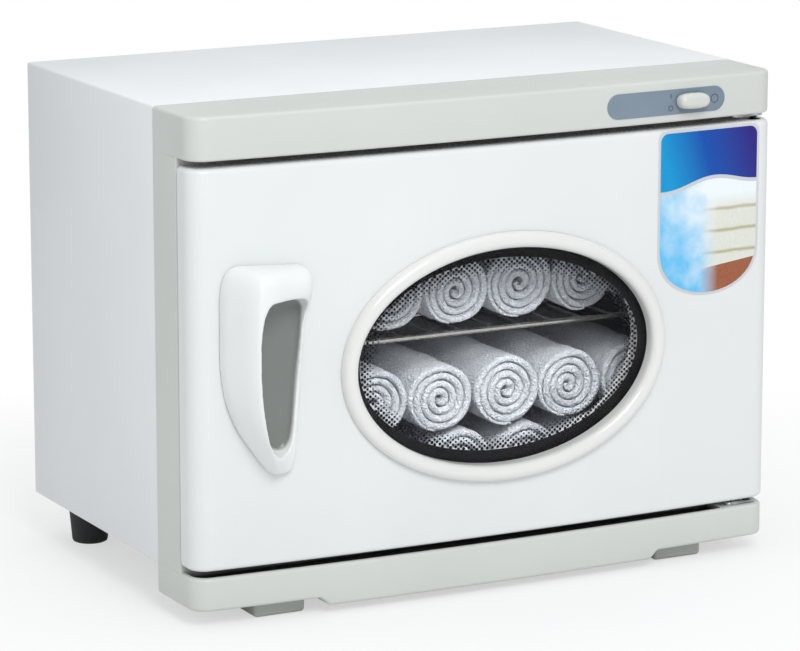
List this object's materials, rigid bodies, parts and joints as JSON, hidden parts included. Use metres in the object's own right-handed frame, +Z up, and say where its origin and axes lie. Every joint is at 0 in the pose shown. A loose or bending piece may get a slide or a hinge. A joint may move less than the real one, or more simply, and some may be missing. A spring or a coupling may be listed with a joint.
{
  "type": "hot towel cabinet",
  "caption": "Table-top heated towel cabinet: steel case, bowed moulded front, right-hinged door with oval window and pull handle, wire shelf and rocker switch.",
  "frame": {"origin": "centre of the bounding box's bottom, on the surface the feet stand on", "axes": "+Z up; the door faces -Y; +X to the viewer's right, where the hinge is"},
  "size_m": [0.45, 0.3197, 0.347],
  "materials": {
    "case_paint": "satin powder coat",
    "surround_plastic": "fine moulded satin",
    "door_plastic": "smooth white moulding",
    "window_sleeve_plastic": "moulded satin",
    "bezel_plastic": "polished warm white",
    "rocker_plastic": "smooth white",
    "panel_paint": "satin white",
    "liner_metal": "brushed",
    "glass_wool": "loose fibre",
    "heater_silicone": "smooth silicone",
    "cream_ceramic": "unglazed",
    "zinc_steel": "zinc plated",
    "black_plastic": "moulded",
    "control_plate_paint": "printed satin plate",
    "grey_foot_rubber": "smooth",
    "gasket_rubber": "soft",
    "black_rubber": "moulded",
    "shelf_chrome": "bright plated",
    "window_glass": "clear toughened"
  },
  "bodies": {
    "cabinet": {"front_surround": "surround_plastic", "outer_shell": "case_paint", "back_panel": "case_paint", "bottom_panel": "case_paint", "inner_liner": "liner_metal", "insulation_wrap": "glass_wool", "rear_insulation": "glass_wool", "heater_pad": "heater_silicone", "thermostat": "cream_ceramic", "thermal_fuse": "zinc_steel", "terminal_block": "cream_ceramic", "cable_gland": "black_plastic", "shelf_rail_left": "liner_metal", "shelf_rail_right": "liner_metal", "control_plate": "control_plate_paint", "switch_body": "black_plastic", "magnet_catch_lower": "black_plastic", "magnet_catch_upper": "black_plastic", "front_left_foot": "grey_foot_rubber", "front_right_foot": "grey_foot_rubber", "rear_left_foot": "black_rubber", "rear_right_foot": "black_rubber", "rear_left_foot_screw": "zinc_steel", "rear_right_foot_screw": "zinc_steel", "back_screw_lower_left": "zinc_steel", "back_screw_lower_right": "zinc_steel", "back_screw_upper_left": "zinc_steel", "back_screw_upper_right": "zinc_steel", "upper_hinge_bracket": "zinc_steel", "lower_hinge_bracket": "zinc_steel", "upper_hinge_pin": "zinc_steel", "lower_hinge_pin": "zinc_steel", "upper_bracket_screw": "zinc_steel", "lower_bracket_screw": "zinc_steel"},
    "shelf": {"wire_shelf": "shelf_chrome"},
    "rocker": {"switch_rocker": "rocker_plastic"},
    "door": {"door_outer": "door_plastic", "door_inner_panel": "panel_paint", "door_gasket": "gasket_rubber", "window_bezel": "bezel_plastic", "window_glass": "window_glass", "window_retainer": "window_sleeve_plastic", "door_handle": "door_plastic", "handle_screw_upper": "zinc_steel", "handle_screw_lower": "zinc_steel", "strike_plate_lower": "zinc_steel", "strike_plate_upper": "zinc_steel", "upper_hinge_bush": "black_plastic", "lower_hinge_bush": "black_plastic", "panel_screw_lower_left": "zinc_steel", "panel_screw_lower_right": "zinc_steel", "panel_screw_upper_left": "zinc_steel", "panel_screw_upper_right": "zinc_steel"}
  },
  "joints": [
    {"name": "door_hinge", "type": "hinge", "parent": "cabinet", "child": "door", "pos_m": [0.213, -0.11685, 0.176], "axis": [0, 0, 1], "range_deg": [0, 110]},
    {"name": "shelf_slide", "type": "slide", "parent": "cabinet", "child": "shelf", "axis": [0, -1, 0], "range_m": [0, 0.01]},
    {"name": "power_rocker", "type": "hinge", "parent": "cabinet", "child": "rocker", "pos_m": [0.153, -0.12991, 0.3315], "axis": [1, 0, 0], "range_deg": [0, 12]}
  ]
}
